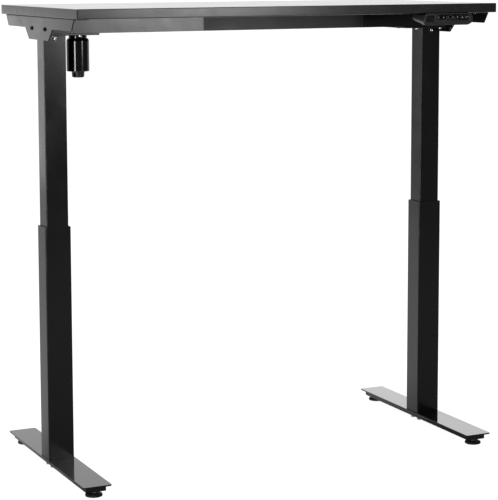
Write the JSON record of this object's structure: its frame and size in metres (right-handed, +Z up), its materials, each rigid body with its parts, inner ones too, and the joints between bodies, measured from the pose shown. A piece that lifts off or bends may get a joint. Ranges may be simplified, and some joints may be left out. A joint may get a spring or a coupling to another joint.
{
  "type": "height adjustable standing desk",
  "caption": "Sit-stand desk: rectangular top on a two-column lifting frame with a motor, cross shaft, levelling feet and a push-button handset.",
  "frame": {"origin": "on the floor, midway between the two columns and midway along the feet", "axes": "+X to the user's right along the desk's width, +Y from the user to the rear, +Z up"},
  "size_m": [1.201, 0.61, 1.22],
  "materials": {
    "black_powder_coat": "satin powder coat",
    "black_laminate": "matt black laminated board",
    "motor_black": "gloss black paint",
    "zinc_steel": "bright zinc plated",
    "bare_steel": "machined steel",
    "cast_alloy": "die cast",
    "bronze": "sintered bronze",
    "white_acetal": "moulded acetal",
    "black_plastic": "fine moulded texture",
    "display_window": "polished",
    "circuit_board": "solder resist",
    "black_rubber": "moulded pad"
  },
  "bodies": {
    "left_base": {"left_foot_plate": "black_powder_coat", "left_foot_channel": "black_powder_coat", "left_foot_bolts": "zinc_steel", "left_nut_post": "bare_steel", "left_lead_nut": "white_acetal", "left_outer_tube": "black_powder_coat", "left_collar": "black_plastic"},
    "desk_top": {"tabletop": "black_laminate", "left_bracket": "black_powder_coat", "right_bracket": "black_powder_coat", "outer_rails": "black_powder_coat", "middle_rails": "black_powder_coat", "rail_blocks": "black_powder_coat", "head_plates": "black_powder_coat", "left_inner_tube": "black_powder_coat", "right_inner_tube": "black_powder_coat", "glide_shoes": "white_acetal", "head_blocks": "bare_steel", "screw_bearings": "bare_steel", "gear_cases": "cast_alloy", "gear_covers": "cast_alloy", "motor_gear_case": "cast_alloy", "motor_can": "motor_black", "motor_cap": "black_plastic", "handset_case": "black_plastic", "handset_window": "display_window", "handset_board": "circuit_board", "control_box": "black_plastic", "control_lid": "black_plastic", "control_board": "circuit_board", "mains_inlet": "black_plastic", "frame_bolts": "zinc_steel", "top_screws": "zinc_steel"},
    "right_base": {"right_foot_plate": "black_powder_coat", "right_foot_channel": "black_powder_coat", "right_foot_bolts": "zinc_steel", "right_nut_post": "bare_steel", "right_lead_nut": "white_acetal", "right_outer_tube": "black_powder_coat", "right_collar": "black_plastic"},
    "left_front_foot": {"left_front_leveller": "black_rubber"},
    "left_rear_foot": {"left_rear_leveller": "black_rubber"},
    "right_front_foot": {"right_front_leveller": "black_rubber"},
    "right_rear_foot": {"right_rear_leveller": "black_rubber"},
    "left_lead_screw": {"left_screw": "bare_steel", "left_screw_gear": "bare_steel"},
    "right_lead_screw": {"right_screw": "bare_steel", "right_screw_gear": "bare_steel"},
    "cross_shaft": {"drive_shaft": "bare_steel", "shaft_gears": "bare_steel", "worm_wheel": "bronze"},
    "rotor": {"motor_rotor": "bare_steel", "motor_worm": "bare_steel"},
    "key_up": {"button_up": "black_plastic"},
    "key_down": {"button_down": "black_plastic"},
    "key_1": {"button_1": "black_plastic"},
    "key_2": {"button_2": "black_plastic"},
    "key_3": {"button_3": "black_plastic"},
    "key_4": {"button_4": "black_plastic"},
    "key_timer": {"button_timer": "black_plastic"}
  },
  "joints": [
    {"name": "height", "type": "slide", "parent": "left_base", "child": "desk_top", "axis": [0, 0, 1], "range_m": [-0.48, 0]},
    {"name": "right_leg", "type": "slide", "parent": "desk_top", "child": "right_base", "axis": [0, 0, -1], "range_m": [-0.48, 0]},
    {"name": "left_screw_turn", "type": "hinge", "parent": "desk_top", "child": "left_lead_screw", "pos_m": [-0.562, 0, 0.9], "axis": [0, 0, 1], "range_deg": [-21600, 0]},
    {"name": "right_screw_turn", "type": "hinge", "parent": "desk_top", "child": "right_lead_screw", "pos_m": [0.562, 0, 0.9], "axis": [0, 0, 1], "range_deg": [-21600, 0]},
    {"name": "shaft_turn", "type": "hinge", "parent": "desk_top", "child": "cross_shaft", "pos_m": [0, 0, 1.174], "axis": [1, 0, 0], "range_deg": [-21600, 0]},
    {"name": "rotor_turn", "type": "hinge", "parent": "desk_top", "child": "rotor", "pos_m": [-0.483, 0.01876, 1.1], "axis": [0, 0, 1], "range_deg": [0, 388800]},
    {"name": "left_front_level", "type": "slide", "parent": "left_base", "child": "left_front_foot", "axis": [0, 0, 1], "range_m": [-0.01, 0]},
    {"name": "left_rear_level", "type": "slide", "parent": "left_base", "child": "left_rear_foot", "axis": [0, 0, 1], "range_m": [-0.01, 0]},
    {"name": "right_front_level", "type": "slide", "parent": "right_base", "child": "right_front_foot", "axis": [0, 0, 1], "range_m": [-0.01, 0]},
    {"name": "right_rear_level", "type": "slide", "parent": "right_base", "child": "right_rear_foot", "axis": [0, 0, 1], "range_m": [-0.01, 0]},
    {"name": "press_up", "type": "slide", "parent": "desk_top", "child": "key_up", "axis": [0, 1, 0], "range_m": [0, 0.0007], "stiffness_N_per_m": 2500},
    {"name": "press_down", "type": "slide", "parent": "desk_top", "child": "key_down", "axis": [0, 1, 0], "range_m": [0, 0.0007], "stiffness_N_per_m": 2500},
    {"name": "press_1", "type": "slide", "parent": "desk_top", "child": "key_1", "axis": [0, 1, 0], "range_m": [0, 0.0007], "stiffness_N_per_m": 2500},
    {"name": "press_2", "type": "slide", "parent": "desk_top", "child": "key_2", "axis": [0, 1, 0], "range_m": [0, 0.0007], "stiffness_N_per_m": 2500},
    {"name": "press_3", "type": "slide", "parent": "desk_top", "child": "key_3", "axis": [0, 1, 0], "range_m": [0, 0.0007], "stiffness_N_per_m": 2500},
    {"name": "press_4", "type": "slide", "parent": "desk_top", "child": "key_4", "axis": [0, 1, 0], "range_m": [0, 0.0007], "stiffness_N_per_m": 2500},
    {"name": "press_timer", "type": "slide", "parent": "desk_top", "child": "key_timer", "axis": [0, 1, 0], "range_m": [0, 0.0007], "stiffness_N_per_m": 2500}
  ],
  "couplings": [
    {"joint": "right_leg", "follows": "height", "ratio": 1},
    {"joint": "left_screw_turn", "follows": "height", "rad_per_m": 785.4},
    {"joint": "right_screw_turn", "follows": "height", "rad_per_m": 785.4},
    {"joint": "shaft_turn", "follows": "height", "rad_per_m": 785.4},
    {"joint": "rotor_turn", "follows": "height", "rad_per_m": -14137}
  ]
}
